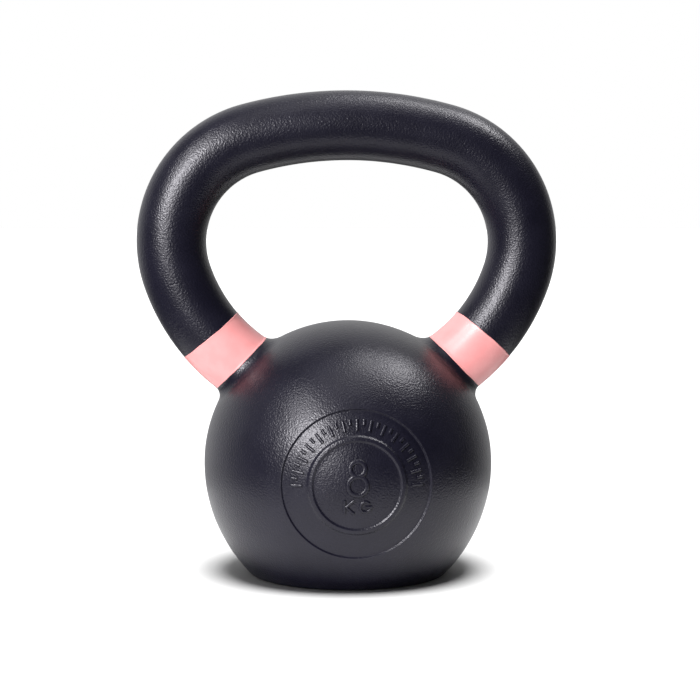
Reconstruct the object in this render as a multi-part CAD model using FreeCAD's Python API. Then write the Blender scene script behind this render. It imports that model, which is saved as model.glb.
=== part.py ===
"""Cast iron kettlebell of 8 kg: a round bell and a closed handle in one casting, and its coloured finish.

The frame is the kettlebell's own: it stands on the plane Z = 0, +Z is up, and the front of the bell,
with the cast medallion, faces -Y.  All sizes are in millimetres.
"""
import FreeCAD, Part
import os
from math import asin, atan2, cos, degrees, hypot, radians, sin, sqrt

Vector = FreeCAD.Vector
ORIGIN = Vector(0, 0, 0)
ACROSS = Vector(0, 1, 0)
UP = Vector(0, 0, 1)
FRONT = Vector(0, -1, 0)

# Bell: a body turned about Z, from a lower arc, a side arc and a crown arc that are tangent to each other.
bell_radius = 60.6
bell_centre_z = 47.0
lower_arc_radius = 66.5
side_arc_shift = 1.1
crown_arc_drop = 2.8
base_edge_round = 3.0

# Handle: a round bar along tangent arcs, from the middle of the grip down into the bell.
grip_radius = 14.5
grip_centre_z = 188.3
grip_arc_radius = 154.0
grip_half_turn = 15.4
corner_arc_radius = 44.7
corner_turn = 93.3
leg_arc_radius = 75.6
leg_turn = 50.0
root_fillet = 4.0

# Finish: one powder coat, with a coloured band masked off at the foot of each leg.  The band's edges lie in
# two planes that lean towards each other by band_taper.
coat_thickness = 0.3
band_upper_turn = 21.4
band_lower_turn = 34.6
band_taper = 4.9
band_zone_radius = 27.0

# Medallion: a shallow round recess that follows the bell's curve, with marks that rise to the bell's surface.
medallion_radius = 29.6
medallion_depth = 0.8
medallion_centre_z = 45.0
medallion_cut_back = 25.0
medallion_cut_length = 45.0
ring_radius = 18.5
ring_width = 1.9

# Dial on the upper arc of the medallion: long radial bars, with a short one half way between each two.
dial_bars = 15
dial_half_sweep = 90.0
dial_outer_radius = 26.0
dial_bar_length = 4.2
dial_short_length = 2.0
dial_bar_width = 1.3

# Weight figure in the middle of the medallion, and the two letters of its unit below it.
stroke = 1.9
figure_upper_radius = 3.9
figure_lower_radius = 4.7
figure_waist = 4.0
letter_height = 5.4
letter_width = 4.4
letter_stroke = 1.3
letter_gap = 1.8
letter_drop = 8.2


def bell_profile(inset):
    """Half outline of the bell as a face in the XZ plane, with every curved side set in by inset."""
    lower = lower_arc_radius - inset
    side = bell_radius - side_arc_shift - inset
    crown = side + hypot(side_arc_shift, crown_arc_drop)
    lower_centre = Vector(bell_radius - lower_arc_radius, 0, bell_centre_z)
    side_centre = Vector(side_arc_shift, 0, bell_centre_z)
    crown_centre = Vector(0, 0, bell_centre_z - crown_arc_drop)
    crown_start = degrees(atan2(crown_arc_drop, side_arc_shift))

    edge = base_edge_round - inset
    edge_x = lower_centre.x + sqrt((lower - edge) ** 2 - (bell_centre_z - edge) ** 2)
    edge_centre = Vector(edge_x, 0, edge)
    edge_end = degrees(asin((edge - bell_centre_z) / (lower - edge)))

    base = Part.LineSegment(ORIGIN, Vector(edge_x, 0, 0)).toShape()
    axis = Part.LineSegment(Vector(0, 0, crown_centre.z + crown), ORIGIN).toShape()
    outline = [base,
               flat_arc(edge_centre, edge, -90, edge_end),
               flat_arc(lower_centre, lower, edge_end, 0),
               flat_arc(side_centre, side, 0, crown_start),
               flat_arc(crown_centre, crown, crown_start, 90),
               axis]
    return Part.Face(Part.Wire(outline))


def flat_arc(centre, radius, start, end):
    """Arc in the XZ plane between two angles in degrees, counted from +X towards +Z."""
    points = []
    for angle in (start, (start + end) / 2, end):
        points.append(centre + Vector(cos(radians(angle)), 0, sin(radians(angle))) * radius)
    return Part.Arc(points[0], points[1], points[2]).toShape()


def turned_bell(inset):
    """Solid bell without its medallion."""
    return bell_profile(inset).revolve(ORIGIN, UP, 360)


def handle_arcs():
    """Arcs of the right half of the handle's centreline: centre, radius, heading at its start, and turn."""
    arcs = []
    end = Vector(0, 0, grip_centre_z)
    heading = 0.0
    for radius, turn in ((grip_arc_radius, grip_half_turn),
                         (corner_arc_radius, corner_turn),
                         (leg_arc_radius, leg_turn)):
        centre = end - outward(heading) * radius
        arcs.append((centre, radius, heading, turn))
        heading += turn
        end = centre + outward(heading) * radius
    return arcs


def outward(heading):
    """Direction from an arc's centre to the point where the bar has turned down by heading degrees."""
    return Vector(sin(radians(heading)), 0, cos(radians(heading)))


def bent_bar(centre, radius, heading, turn, bar_radius):
    """Round bar bent along one arc."""
    start = centre + outward(heading) * radius
    along = Vector(cos(radians(heading)), 0, -sin(radians(heading)))
    section = Part.Face(Part.Wire(Part.makeCircle(bar_radius, start, along)))
    return section.revolve(centre, ACROSS, turn)


def mirrored(shape):
    """The same shape on the other side of the YZ plane."""
    return shape.mirror(ORIGIN, Vector(1, 0, 0))


def handle_bar(inset):
    """Whole handle, from one leg's end inside the bell to the other's."""
    grip, corner, leg = handle_arcs()
    bar_radius = grip_radius - inset
    middle = bent_bar(grip[0], grip[1], -grip_half_turn, 2 * grip_half_turn, bar_radius)
    right = [bent_bar(*corner, bar_radius), bent_bar(*leg, bar_radius)]
    left = [mirrored(piece) for piece in right]
    return middle.fuse(right + left).removeSplitter()


def root_edges(body, bell, bar):
    """Edges where the handle's legs run into the bell."""
    found = []
    for edge in body.Edges:
        if edge.Degenerated:
            continue
        points = edge.discretize(5)[1:4]
        on_both = True
        for point in points:
            spot = Part.Vertex(point)
            if bell.Shells[0].distToShape(spot)[0] > 0.01 or bar.Shells[0].distToShape(spot)[0] > 0.01:
                on_both = False
        if on_both:
            found.append(edge)
    return found


def bar_mark(centre_x, centre_z, length, width, lean):
    """Prism of a straight stroke on the medallion; lean is its angle from +X towards +Z."""
    box = Part.makeBox(length, medallion_cut_length, width)
    box.translate(Vector(-length / 2, -medallion_cut_back - medallion_cut_length, -width / 2))
    box.rotate(ORIGIN, FRONT, lean)
    box.translate(Vector(centre_x, 0, centre_z))
    return box


def disc_mark(centre_x, centre_z, radius):
    """Prism of a round spot on the medallion."""
    start = Vector(centre_x, -medallion_cut_back, centre_z)
    return Part.makeCylinder(radius, medallion_cut_length, start, FRONT)


def ring_mark(centre_x, centre_z, radius, width):
    """Prism of a ring on the medallion; radius is at the middle of its width."""
    outer = disc_mark(centre_x, centre_z, radius + width / 2)
    return outer.cut(disc_mark(centre_x, centre_z, radius - width / 2))


def dial_marks(inset):
    """Radial bars on the upper arc, long and short by turns."""
    steps = 2 * (dial_bars - 1)
    marks = []
    for number in range(steps + 1):
        angle = 90 + dial_half_sweep - 2 * dial_half_sweep * number / steps
        length = dial_short_length if number % 2 else dial_bar_length
        radius = dial_outer_radius - length / 2
        x = radius * cos(radians(angle))
        z = medallion_centre_z + radius * sin(radians(angle))
        marks.append(bar_mark(x, z, length - 2 * inset, dial_bar_width - 2 * inset, angle))
    return marks


def figure_marks(inset):
    """Weight figure 8: a smaller ring on a larger one."""
    width = stroke - 2 * inset
    waist_z = medallion_centre_z + figure_waist
    reach = stroke / 2
    return [ring_mark(0, waist_z + figure_upper_radius - reach, figure_upper_radius - reach, width),
            ring_mark(0, waist_z - figure_lower_radius + reach, figure_lower_radius - reach, width)]


def letter_k(centre_x, centre_z, width, inset):
    """Letter K: an upright and two slanted strokes."""
    upright_x = centre_x - letter_width / 2 + letter_stroke / 2
    slant = degrees(atan2(letter_height / 2, letter_width - letter_stroke))
    arm = hypot(letter_height / 2, letter_width - letter_stroke) - 2 * inset
    arm_x = centre_x + letter_stroke / 2
    return [bar_mark(upright_x, centre_z, letter_height - 2 * inset, width, 90),
            bar_mark(arm_x, centre_z + letter_height / 4, arm, width, slant),
            bar_mark(arm_x, centre_z - letter_height / 4, arm, width, -slant)]


def letter_g(centre_x, centre_z, width, inset):
    """Letter G: an open ring with a short bar into its middle."""
    radius = (letter_height - letter_stroke) / 2
    ring = ring_mark(centre_x, centre_z, radius, width)
    mouth_x = centre_x + letter_height / 2
    mouth = bar_mark(mouth_x, centre_z + radius / 2, letter_height, radius - 2 * inset, 0)
    bar_length = radius + letter_stroke / 2
    bar = bar_mark(centre_x + bar_length / 2, centre_z, bar_length - 2 * inset, width, 0)
    return [ring.cut(mouth), bar]


def unit_marks(inset):
    """Letters of the unit of weight, side by side below the figure."""
    width = letter_stroke - 2 * inset
    centre_z = medallion_centre_z - letter_drop
    return (letter_k(-(letter_gap + letter_height) / 2, centre_z, width, inset)
            + letter_g((letter_gap + letter_width) / 2, centre_z, width, inset))


def medallion_pocket(inset):
    """Material missing from the front of the bell: the recess less its floor and its raised marks."""
    field = disc_mark(0, medallion_centre_z, medallion_radius + inset)
    marks = [ring_mark(0, medallion_centre_z, ring_radius, ring_width - 2 * inset)]
    marks += dial_marks(inset)
    marks += figure_marks(inset)
    marks += unit_marks(inset)
    return field.cut(turned_bell(inset + medallion_depth)).cut(marks)


def kettlebell_body(inset):
    """Bell and handle in one solid, with every surface but the base set in by inset."""
    bell = turned_bell(inset)
    bar = handle_bar(inset)
    body = bell.fuse(bar).removeSplitter()
    rounded = body.makeFillet(root_fillet + inset, root_edges(body, bell, bar))
    return rounded.cut(medallion_pocket(inset))


def band_zone():
    """Space round the foot of the right leg that its band covers, from the plane of one edge to the other's."""
    centre, radius, heading, _ = handle_arcs()[2]
    upper_turn = heading + band_upper_turn
    upper = centre + outward(upper_turn) * radius
    lower = centre + outward(heading + band_lower_turn) * radius
    down_leg = Vector(cos(radians(upper_turn)), 0, -sin(radians(upper_turn)))
    reach = (lower - upper).dot(down_leg) / sin(radians(band_taper))
    hinge = lower - outward(upper_turn + band_taper) * reach
    return bent_bar(hinge, (upper - hinge).Length, upper_turn, band_taper, band_zone_radius)


def save(shape, node):
    """Write one node to its own file."""
    shape.exportStep("parts/" + node + ".step")
    print(node, "solids", len(shape.Solids), "valid", shape.isValid(), "volume", round(shape.Volume, 1))


def main():
    """Make the casting, then the coat and the bands that cover it."""
    os.makedirs("parts", exist_ok=True)
    casting = kettlebell_body(coat_thickness)
    finish = kettlebell_body(0).cut(casting)
    right_zone = band_zone()
    left_zone = mirrored(right_zone)
    black = finish.cut([right_zone, left_zone]).Solids
    black.sort(key=lambda solid: solid.BoundBox.Center.z)

    save(casting, "iron_casting")
    save(black[0], "bell_coat")
    save(black[-1], "handle_coat")
    save(finish.common(left_zone), "left_band")
    save(finish.common(right_zone), "right_band")
    print("black pieces", len(black), "box", finish.BoundBox)


main()
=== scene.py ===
"""Looks of a cast iron kettlebell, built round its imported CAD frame.

The frame gives the sizes of the bell, the handle and the bands.  The pieces made here are the black powder
coat of the bell with its medallion, the raised dial and weight mark on it, the coat of the handle, and the
two coloured bands.  The casting itself stays as the CAD node and shows only at its ground base.
All lengths are in metres.
"""
import logging
import math
from dataclasses import dataclass
from enum import Enum
from typing import Any

import bpy
import numpy as np
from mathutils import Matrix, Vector


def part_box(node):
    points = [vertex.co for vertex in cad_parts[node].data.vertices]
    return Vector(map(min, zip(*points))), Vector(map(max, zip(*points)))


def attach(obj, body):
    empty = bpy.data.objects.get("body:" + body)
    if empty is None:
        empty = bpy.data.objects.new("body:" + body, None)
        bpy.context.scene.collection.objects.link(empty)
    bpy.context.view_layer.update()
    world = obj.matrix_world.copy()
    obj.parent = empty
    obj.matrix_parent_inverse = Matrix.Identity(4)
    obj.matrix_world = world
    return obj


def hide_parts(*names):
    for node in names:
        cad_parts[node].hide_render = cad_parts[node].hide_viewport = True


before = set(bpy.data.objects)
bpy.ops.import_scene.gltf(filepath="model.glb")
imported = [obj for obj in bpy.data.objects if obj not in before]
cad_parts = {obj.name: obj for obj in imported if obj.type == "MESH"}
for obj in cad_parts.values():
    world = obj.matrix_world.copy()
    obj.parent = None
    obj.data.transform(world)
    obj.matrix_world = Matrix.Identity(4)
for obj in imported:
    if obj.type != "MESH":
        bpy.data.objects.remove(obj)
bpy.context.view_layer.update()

MM = 0.001
LOG = logging.getLogger("kettlebell")
Points = np.ndarray
ZERO_TURN = 1e-6
SETTLE_ROUNDS = 8
BELL_COAT = "bell_powder_coat"
ROUND_POINTS = 64
UP = np.array([0.0, 0.0, 1.0])
BACK = np.array([0.0, 1.0, 0.0])
MIRROR = np.array([-1.0, 1.0, 1.0])


class Body(Enum):
    """Rigid bodies of the frame; a kettlebell is all one."""

    ROOT = "root"


class Slot(Enum):
    """Finishes in the record that the pieces made here have."""

    BLACK = "black_coat"
    PINK = "pink_band"


class Side(Enum):
    """Side of the handle, seen from the front."""

    LEFT = -1
    RIGHT = 1


# ---------------------------------------------------------------------------------------------------------
# Shader and geometry trees
# ---------------------------------------------------------------------------------------------------------


class Wire:
    """An output socket that takes part in arithmetic; every operation adds a Math node to its tree."""

    def __init__(self, tree: "Tree", socket: bpy.types.NodeSocket) -> None:
        """Wrap a socket.

        Args:
            tree: Tree that the socket's node is in.
            socket: The output socket.
        """
        self.tree = tree
        self.socket = socket

    def _math(self, operation: str, first: Any, second: Any) -> "Wire":
        """Add a Math node on two values or wires."""
        return self.tree.add(self.tree.math_kind, {"operation": operation}, {0: first, 1: second})

    def __add__(self, other: Any) -> "Wire":
        """Sum."""
        return self._math("ADD", self, other)

    def __radd__(self, other: Any) -> "Wire":
        """Sum, with the wire second."""
        return self._math("ADD", other, self)

    def __sub__(self, other: Any) -> "Wire":
        """Difference."""
        return self._math("SUBTRACT", self, other)

    def __rsub__(self, other: Any) -> "Wire":
        """Difference, with the wire second."""
        return self._math("SUBTRACT", other, self)

    def __mul__(self, other: Any) -> "Wire":
        """Product."""
        return self._math("MULTIPLY", self, other)

    def __rmul__(self, other: Any) -> "Wire":
        """Product, with the wire second."""
        return self._math("MULTIPLY", other, self)

    def __truediv__(self, other: Any) -> "Wire":
        """Quotient."""
        return self._math("DIVIDE", self, other)

    def __rtruediv__(self, other: Any) -> "Wire":
        """Quotient, with the wire second."""
        return self._math("DIVIDE", other, self)

    def __mod__(self, other: Any) -> "Wire":
        """Remainder."""
        return self._math("FLOORED_MODULO", self, other)

    def __rmod__(self, other: Any) -> "Wire":
        """Remainder, with the wire second."""
        return self._math("FLOORED_MODULO", other, self)

    def cos(self) -> "Wire":
        """Cosine of an angle in radians."""
        return self._math("COSINE", self, 0.0)

    def sin(self) -> "Wire":
        """Sine of an angle in radians."""
        return self._math("SINE", self, 0.0)


class Tree:
    """A node tree of any kind, and the one method that adds nodes to it."""

    math_kind = "ShaderNodeMath"

    def __init__(self, nodes: bpy.types.NodeTree) -> None:
        """Wrap a node tree.

        Args:
            nodes: The tree to build in.
        """
        self.nodes = nodes

    def add(self, kind: str, settings: dict[str, Any] | None = None,
            inputs: dict[str | int, Any] | None = None, output: str | int = 0) -> Wire:
        """Add a node.

        Args:
            kind: The node's type.
            settings: Properties of the node, set before its sockets.
            inputs: Values or wires for its sockets, by name or number.
            output: Name or number of the output to return.

        Returns:
            A wire from that output.
        """
        node = self.nodes.nodes.new(kind)
        for name, value in (settings or {}).items():
            setattr(node, name, value)
        for name, value in (inputs or {}).items():
            if isinstance(value, Wire):
                self.nodes.links.new(value.socket, node.inputs[name])
            else:
                node.inputs[name].default_value = value
        return Wire(self, node.outputs[output]) if len(node.outputs) else Wire(self, None)

    def spread(self, value: Wire, low: float = 0.35, high: float = 0.65, top: float = 1.0) -> Wire:
        """Stretch the part of a value between low and high to 0 to top, and clip the rest.

        Args:
            value: The value.
            low: Value that becomes 0.
            high: Value that becomes top.
            top: Largest result.

        Returns:
            The stretched value, with soft ends.
        """
        return self.add("ShaderNodeMapRange", {"interpolation_type": "SMOOTHSTEP"},
                        {"Value": value, "From Min": low, "From Max": high, "To Max": top})


class ShaderTree(Tree):
    """A material's tree, with its own coordinates and surface."""

    def __init__(self, name: str) -> None:
        """Make a material with an empty tree.

        Args:
            name: Name of the material.
        """
        self.material = bpy.data.materials.new(name)
        self.material.use_nodes = True
        super().__init__(self.material.node_tree)
        self.nodes.nodes.clear()
        self.place = self.add("ShaderNodeTexCoord", output="Object")

    def noise(self, size: float, detail: float, fineness: float = 0.5) -> Wire:
        """Noise whose bumps are about size across.

        Args:
            size: Length of one bump.
            detail: Number of finer layers.
            fineness: Share of each finer layer.

        Returns:
            The noise's value, from 0 to 1.
        """
        return self.add("ShaderNodeTexNoise", {"noise_dimensions": "3D"},
                        {"Vector": self.place, "Scale": 1.0 / size, "Detail": detail,
                         "Roughness": fineness}, "Fac")

    def bump(self, relief: Wire, height: float) -> Wire:
        """Facing of a surface with a relief of a given full height."""
        return self.add("ShaderNodeBump", {},
                        {"Strength": 1.0, "Distance": height, "Height": relief}, "Normal")

    def mix(self, share: Wire, low: tuple[float, ...], high: tuple[float, ...]) -> Wire:
        """Colour between two others.

        Args:
            share: 0 for the first colour, 1 for the second.
            low: First colour.
            high: Second colour.

        Returns:
            The mixed colour.
        """
        return self.add("ShaderNodeMix", {"data_type": "RGBA"}, {0: share, 6: low, 7: high}, 2)

    def finish(self, constants: dict[str, Any], varying: dict[str, Wire]) -> bpy.types.Material:
        """Add the surface and end the tree.

        Args:
            constants: Values that are the same all over, set on the shader's own sockets.
            varying: Wires for what changes over the surface.

        Returns:
            The finished material.
        """
        surface = self.add("ShaderNodeBsdfPrincipled", {}, {**constants, **varying})
        self.add("ShaderNodeOutputMaterial", {}, {"Surface": surface})
        return self.material


class GeometryTree(Tree):
    """A Geometry Nodes tree with named inputs, which an object runs once to become a plain mesh."""

    def __init__(self, name: str) -> None:
        """Make an empty tree with a geometry input and output.

        Args:
            name: Name of the tree.
        """
        super().__init__(bpy.data.node_groups.new(name, "GeometryNodeTree"))
        self.nodes.interface.new_socket("Geometry", in_out="INPUT", socket_type="NodeSocketGeometry")
        self.nodes.interface.new_socket("Geometry", in_out="OUTPUT", socket_type="NodeSocketGeometry")
        self.inlet = self.nodes.nodes.new("NodeGroupInput")
        self.values: dict[str, Any] = {}

    def given(self) -> Wire:
        """The geometry that the tree starts from."""
        return Wire(self, self.inlet.outputs["Geometry"])

    def named(self, name: str, kind: str, value: Any) -> Wire:
        """Add a named input and remember its value.

        Args:
            name: Name shown on the modifier.
            kind: Float, Int or Material.
            value: The value it gets.

        Returns:
            A wire from the input.
        """
        item = self.nodes.interface.new_socket(name, in_out="INPUT", socket_type=f"NodeSocket{kind}")
        self.values[item.identifier] = value
        return Wire(self, self.inlet.outputs[name])

    def end(self, geometry: Wire, material: bpy.types.Material) -> None:
        """Close the tree with Realize Instances and Set Material.

        Args:
            geometry: What the tree has made.
            material: Its finish.
        """
        finish = self.named("Finish", "Material", material)
        real = self.add("GeometryNodeRealizeInstances", {}, {"Geometry": geometry})
        dressed = self.add("GeometryNodeSetMaterial", {}, {"Geometry": real, "Material": finish})
        self.add("NodeGroupOutput", {}, {"Geometry": dressed})

    def run(self, obj: bpy.types.Object) -> bpy.types.Mesh:
        """Run the tree on an object and return what it makes as a plain mesh.

        Args:
            obj: Object that carries the tree's input; it is removed.

        Returns:
            The new mesh.
        """
        modifier = obj.modifiers.new("shape", "NODES")
        modifier.node_group = self.nodes
        for identifier, value in self.values.items():
            modifier[identifier] = value
        ready = bpy.context.evaluated_depsgraph_get()
        ready.update()
        mesh = bpy.data.meshes.new_from_object(obj.evaluated_get(ready), depsgraph=ready)
        obj.modifiers.remove(modifier)
        bpy.data.objects.remove(obj)
        return mesh


# ---------------------------------------------------------------------------------------------------------
# Finishes
# ---------------------------------------------------------------------------------------------------------


@dataclass(frozen=True)
class PowderCoat:
    """Black satin powder coat, with the fine orange-peel grain of a textured powder over cast iron."""

    dark: tuple[float, ...] = (0.0036, 0.0033, 0.0088, 1.0)
    light: tuple[float, ...] = (0.0060, 0.0056, 0.0125, 1.0)
    sheen: tuple[float, ...] = (0.97, 0.95, 1.0, 1.0)
    refraction: float = 1.45
    roughness: float = 0.34
    roughness_swing: float = 0.06
    grain: float = 0.7 * MM
    grain_height: float = 0.15 * MM
    grain_fineness: float = 0.4
    patch: float = 14.0 * MM
    patch_share: float = 0.6

    def material(self) -> bpy.types.Material:
        """Make the coat's material."""
        tree = ShaderTree("black_powder_coat")
        grain = tree.noise(self.grain, 1.0, self.grain_fineness)
        patch = tree.noise(self.patch, 2.0)
        shade = tree.spread(patch * self.patch_share + grain * (1.0 - self.patch_share))
        return tree.finish({"IOR": self.refraction, "Specular Tint": self.sheen},
                           {"Base Color": tree.mix(shade, self.dark, self.light),
                            "Roughness": self.roughness + (patch - 0.5) * self.roughness_swing,
                            "Normal": tree.bump(grain, self.grain_height)})


@dataclass(frozen=True)
class BandEnamel:
    """Salmon pink enamel, brushed over the coat's grain so that only the larger bumps show through."""

    body: tuple[float, ...] = (0.82, 0.335, 0.335, 1.0)
    thin: tuple[float, ...] = (0.80, 0.305, 0.305, 1.0)
    refraction: float = 1.5
    roughness: float = 0.33
    roughness_swing: float = 0.06
    grain: float = 1.3 * MM
    grain_height: float = 0.02 * MM
    cloud: float = 6.0 * MM
    cloud_full: float = 0.7

    def material(self) -> bpy.types.Material:
        """Make the enamel's material."""
        tree = ShaderTree("pink_band_enamel")
        grain = tree.noise(self.grain, 1.0)
        cloud = tree.noise(self.cloud, 3.0)
        shade = tree.spread(cloud, high=self.cloud_full)
        return tree.finish({"IOR": self.refraction},
                           {"Base Color": tree.mix(shade, self.body, self.thin),
                            "Roughness": self.roughness + (cloud - 0.5) * self.roughness_swing,
                            "Normal": tree.bump(grain, self.grain_height)})


@dataclass(frozen=True)
class GroundIron:
    """Grey iron ground flat, with the round marks of the wheel and the grain of the casting."""

    bright: tuple[float, ...] = (0.36, 0.35, 0.34, 1.0)
    dull: tuple[float, ...] = (0.19, 0.185, 0.18, 1.0)
    roughness: float = 0.34
    pore_roughness: float = 0.2
    stain_roughness: float = 0.12
    mark_scale: float = 0.05
    mark_pitch: float = 0.9 * MM
    mark_height: float = 0.02 * MM
    mark_wobble: float = 1.5
    pore: float = 0.6 * MM
    pore_fineness: float = 0.6
    stain: float = 18.0 * MM
    stain_share: float = 0.6

    def material(self) -> bpy.types.Material:
        """Make the ground iron's material."""
        tree = ShaderTree("ground_iron")
        marks = tree.add("ShaderNodeTexWave", {"wave_type": "RINGS", "rings_direction": "Z"},
                         {"Vector": tree.place, "Scale": self.mark_scale / self.mark_pitch,
                          "Distortion": self.mark_wobble, "Detail": 2.0, "Detail Scale": 2.0}, "Fac")
        pores = tree.noise(self.pore, 3.0, self.pore_fineness)
        stain = tree.noise(self.stain, 3.0)
        shade = tree.spread(stain * self.stain_share + pores * (1.0 - self.stain_share))
        rough = self.roughness + pores * self.pore_roughness + stain * self.stain_roughness
        return tree.finish({"Metallic": 1.0},
                           {"Base Color": tree.mix(shade, self.bright, self.dull), "Roughness": rough,
                            "Normal": tree.bump(marks * 0.5 + pores * 0.5, self.mark_height)})


@dataclass(frozen=True)
class StudioPaper:
    """White seamless paper for the floor."""

    colour: tuple[float, ...] = (0.62, 0.62, 0.62, 1.0)
    roughness: float = 0.9
    gloss: float = 0.1

    def material(self) -> bpy.types.Material:
        """Make the paper's material."""
        tree = ShaderTree("studio_paper")
        return tree.finish({"Base Color": self.colour, "Roughness": self.roughness,
                            "Specular IOR Level": self.gloss}, {})


# ---------------------------------------------------------------------------------------------------------
# Form of the casting
# ---------------------------------------------------------------------------------------------------------


@dataclass(frozen=True)
class BellSize:
    """Sizes of the turned bell: a lower, a side and a crown arc, tangent to each other."""

    radius: float
    centre_z: float = 47.0 * MM
    lower_arc_radius: float = 66.5 * MM
    side_arc_shift: float = 1.1 * MM
    crown_arc_drop: float = 2.8 * MM
    edge_round: float = 3.0 * MM

    @property
    def side_radius(self) -> float:
        """Radius of the side arc."""
        return self.radius - self.side_arc_shift

    @property
    def crown_radius(self) -> float:
        """Radius of the crown arc."""
        return self.side_radius + math.hypot(self.side_arc_shift, self.crown_arc_drop)

    @property
    def crown_start(self) -> float:
        """Angle above level at which the side arc gives way to the crown arc."""
        return math.atan2(self.crown_arc_drop, self.side_arc_shift)


@dataclass(frozen=True)
class HandleLine:
    """Centreline of the handle: tangent arcs from the middle of the grip down into the bell.

    A place on it is given by its heading, the angle by which the bar has turned down from level.
    """

    bar_radius: float
    grip_z: float
    arcs: tuple[tuple[float, float], ...] = ((154.0 * MM, 15.4), (44.7 * MM, 93.3), (75.6 * MM, 50.0))
    band_upper: float = math.radians(15.4 + 93.3 + 21.4)
    band_lower: float = math.radians(15.4 + 93.3 + 34.6)
    band_taper: float = math.radians(4.9)

    def spans(self) -> list[tuple[np.ndarray, float, float, float]]:
        """Centre, radius, and first and last heading of each arc, on the right half."""
        found = []
        end = np.array([0.0, 0.0, self.grip_z])
        heading = 0.0
        for radius, turn in self.arcs:
            centre = end - radius * self.outward(heading)
            last = heading + math.radians(turn)
            found.append((centre, radius, heading, last))
            end = centre + radius * self.outward(last)
            heading = last
        return found

    @staticmethod
    def outward(heading: float) -> np.ndarray:
        """Direction away from the inside of the bend at a heading."""
        return np.array([math.sin(heading), 0.0, math.cos(heading)])

    def point(self, heading: float) -> np.ndarray:
        """Point of the centreline at a heading, on the right half."""
        for centre, radius, _, last in self.spans():
            if heading <= last + ZERO_TURN:
                break
        return centre + radius * self.outward(heading)

    def headings(self, end: float, step: float) -> list[float]:
        """Headings from the middle of the grip to end, about a step apart along the line."""
        found = [0.0]
        for _, radius, first, last in self.spans():
            stop = min(last, end)
            if stop > first:
                count = max(2, round((stop - first) * radius / step))
                found += [first + (stop - first) * k / count for k in range(1, count + 1)]
        return found


class CastForm:
    """Outer form of the kettlebell as a distance, negative inside: bell, legs, and fillets between them."""

    slope_step = 0.01 * MM

    def __init__(self, bell: BellSize, line: HandleLine, fillet: float) -> None:
        """Keep the sizes.

        Args:
            bell: Sizes of the bell.
            line: Centreline of the handle.
            fillet: Radius of the fillet at the foot of each leg.
        """
        self.bell = bell
        self.line = line
        self.fillet = fillet
        self.leg_centre, self.leg_radius = line.spans()[-1][:2]

    def bell_distance(self, at: Points) -> np.ndarray:
        """Distance to the turned bell.

        Args:
            at: Points, one row each.

        Returns:
            One distance for each point.
        """
        bell = self.bell
        out = np.hypot(at[:, 0], at[:, 1])
        up = at[:, 2] - bell.centre_z
        crown = np.hypot(out, up + bell.crown_arc_drop) - bell.crown_radius
        side = np.hypot(out - bell.side_arc_shift, up) - bell.side_radius
        lower_x = bell.lower_arc_radius - bell.radius
        lower = np.hypot(out + lower_x, up) - bell.lower_arc_radius
        on_crown = out * bell.crown_arc_drop < (up + bell.crown_arc_drop) * bell.side_arc_shift
        round_side = np.where(up < 0.0, lower, np.where(on_crown, crown, side))
        return self._round_inner(round_side, -at[:, 2], bell.edge_round)

    @staticmethod
    def _round_inner(first: np.ndarray, second: np.ndarray, radius: float) -> np.ndarray:
        """What two forms have in common, with the edge between them rounded."""
        corner = np.hypot(np.maximum(first + radius, 0.0), np.maximum(second + radius, 0.0))
        return np.minimum(np.maximum(first, second), -radius) + corner

    def leg_distance(self, at: Points) -> np.ndarray:
        """Distance to the lower stretch of the legs, on both sides."""
        across = np.abs(at[:, 0]) - self.leg_centre[0]
        ring = np.hypot(across, at[:, 2] - self.leg_centre[2]) - self.leg_radius
        return np.hypot(ring, at[:, 1]) - self.line.bar_radius

    def distance(self, at: Points) -> np.ndarray:
        """Distance to bell and legs with the fillets between them."""
        bell = self.bell_distance(at)
        leg = self.leg_distance(at)
        inside = np.hypot(np.maximum(self.fillet - bell, 0.0), np.maximum(self.fillet - leg, 0.0))
        return np.maximum(np.minimum(bell, leg), self.fillet) - inside

    def slope(self, at: Points) -> np.ndarray:
        """Direction in which the distance grows fastest, not scaled to length one."""
        found = np.empty_like(at)
        for axis in range(3):
            step = np.zeros(3)
            step[axis] = self.slope_step
            found[:, axis] = self.distance(at + step) - self.distance(at - step)
        return found / (2.0 * self.slope_step)

    def settle(self, at: Points) -> Points:
        """Move points onto the surface along the slope."""
        for _ in range(SETTLE_ROUNDS):
            slope = self.slope(at)
            at = at - slope * (self.distance(at) / (slope ** 2).sum(1))[:, None]
        return at

    def outward(self, at: Points) -> Points:
        """Outward direction of length one."""
        return unit(self.slope(at))

    def front(self, across: np.ndarray, up: np.ndarray, depth: np.ndarray | float) -> Points:
        """Points on the front of the bell, or below its surface.

        Args:
            across: X of each point.
            up: Z of each point.
            depth: How far below the bell's surface each point lies.

        Returns:
            The points.
        """
        level = across ** 2 + (up - self.bell.centre_z) ** 2
        at = np.stack([across, -np.sqrt(self.bell.radius ** 2 - level), up], 1)
        for _ in range(SETTLE_ROUNDS):
            error = self.bell_distance(at) + depth
            near = at + BACK * self.slope_step
            rate = (self.bell_distance(near) - self.bell_distance(at)) / self.slope_step
            at[:, 1] -= error / rate
        return at


def unit(vectors: Points) -> Points:
    """Vectors scaled to length one."""
    return vectors / np.linalg.norm(vectors, axis=-1, keepdims=True)


@dataclass(frozen=True)
class Wave:
    """One slow wave in the surface of a sand casting."""

    length: float
    direction: tuple[float, float, float]
    phase: float


RIPPLE_WAVES = (
    Wave(21.0 * MM, (0.9, 0.3, 0.4), 0.4),
    Wave(27.0 * MM, (-0.3, 0.8, 0.5), 1.9),
    Wave(17.0 * MM, (0.2, -0.5, 0.8), 3.1),
    Wave(33.0 * MM, (0.6, 0.6, -0.5), 5.0),
    Wave(14.0 * MM, (-0.7, 0.2, 0.7), 2.3),
)


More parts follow.
